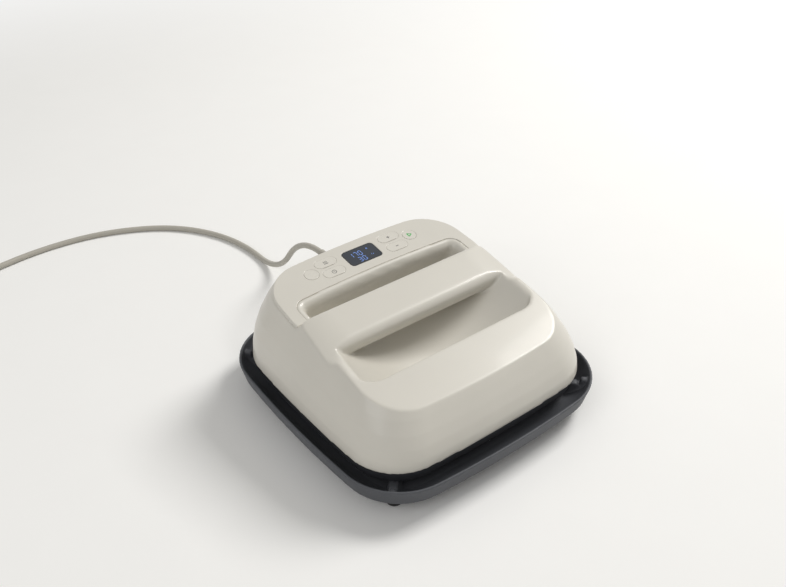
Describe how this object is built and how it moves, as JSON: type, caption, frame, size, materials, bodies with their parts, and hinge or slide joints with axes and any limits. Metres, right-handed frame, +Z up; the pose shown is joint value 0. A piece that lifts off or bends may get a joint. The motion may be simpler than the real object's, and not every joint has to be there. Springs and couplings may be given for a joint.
{
  "type": "handheld heat press",
  "caption": "Square handheld iron-on heat press with a scooped grip, tilted control panel and buttons, seated on a dished perforated safety base, with its coiled power cord",
  "frame": {"origin": "middle of the safety base, on the table under its rubber feet", "axes": "+Z up; -Y is the front, where the user stands; +X is the user's right"},
  "size_m": [0.583, 0.6015, 0.1163],
  "materials": {
    "base_shell": "matte dark slate moulded plastic",
    "base_floor": "matte dark slate powder coat on perforated sheet",
    "feet": "soft black rubber",
    "cord": "satin greige sheath",
    "tie": "black hook and loop tape",
    "plug": "satin greige moulding",
    "pins": "bright brass",
    "housing": "glossy warm greige moulding",
    "window": "dark glossy window",
    "display": "dark display module",
    "button": "glossy warm greige cap",
    "circuit_board": "green circuit board",
    "switch": "black switch body",
    "skirt": "matte charcoal moulding",
    "plate": "dark non-stick coating",
    "element": "steel-sheathed heating element",
    "insulation": "glass-fibre felt",
    "shield": "bright heat shield",
    "post": "steel post",
    "sensor": "small steel case",
    "inner_frame": "grey heat-resistant moulding",
    "transformer": "varnished core",
    "relay": "blue relay case",
    "capacitor": "dark sleeve",
    "strain_relief": "satin greige moulding"
  },
  "bodies": {
    "base": {"base_tray": "base_shell", "base_floor": "base_floor", "base_feet": "feet", "cord_lead": "cord", "cord_coil": "cord", "cord_tie": "tie", "plug_body": "plug", "plug_pins": "pins"},
    "press": {"grip_cover": "housing", "upper_housing": "housing", "control_panel": "housing", "display_window": "window", "display_module": "display", "control_board": "circuit_board", "button_switches": "switch", "buzzer": "switch", "skirt_band": "skirt", "heat_plate": "plate", "heating_element": "element", "insulation_pad": "insulation", "heat_shield": "shield", "plate_posts": "post", "thermistor": "sensor", "thermal_cutout": "sensor", "inner_frame": "inner_frame", "power_board": "circuit_board", "transformer": "transformer", "relay": "relay", "capacitor": "capacitor", "strain_relief": "strain_relief", "cord_clamp": "inner_frame", "inner_lead": "cord"},
    "power_button_cap": {"power_button": "button"},
    "temperature_button_cap": {"temperature_button": "button"},
    "timer_button_cap": {"timer_button": "button"},
    "plus_button_cap": {"plus_button": "button"},
    "minus_button_cap": {"minus_button": "button"},
    "start_button_cap": {"start_button": "button"}
  },
  "joints": [
    {"name": "press_lift", "type": "slide", "parent": "base", "child": "press", "axis": [0, 0, 1], "range_m": [0, 0.118]},
    {"name": "power_button_press", "type": "slide", "parent": "press", "child": "power_button_cap", "axis": [0, 0.1386, -0.9903], "range_m": [0, 0.0008], "stiffness_N_per_m": 600, "springref_m": -0.0004},
    {"name": "temperature_button_press", "type": "slide", "parent": "press", "child": "temperature_button_cap", "axis": [0, 0.1386, -0.9903], "range_m": [0, 0.0008], "stiffness_N_per_m": 600, "springref_m": -0.0004},
    {"name": "timer_button_press", "type": "slide", "parent": "press", "child": "timer_button_cap", "axis": [0, 0.1386, -0.9903], "range_m": [0, 0.0008], "stiffness_N_per_m": 600, "springref_m": -0.0004},
    {"name": "plus_button_press", "type": "slide", "parent": "press", "child": "plus_button_cap", "axis": [0, 0.1386, -0.9903], "range_m": [0, 0.0008], "stiffness_N_per_m": 600, "springref_m": -0.0004},
    {"name": "minus_button_press", "type": "slide", "parent": "press", "child": "minus_button_cap", "axis": [0, 0.1386, -0.9903], "range_m": [0, 0.0008], "stiffness_N_per_m": 600, "springref_m": -0.0004},
    {"name": "start_button_press", "type": "slide", "parent": "press", "child": "start_button_cap", "axis": [0, 0.1386, -0.9903], "range_m": [0, 0.0008], "stiffness_N_per_m": 600, "springref_m": -0.0004}
  ]
}
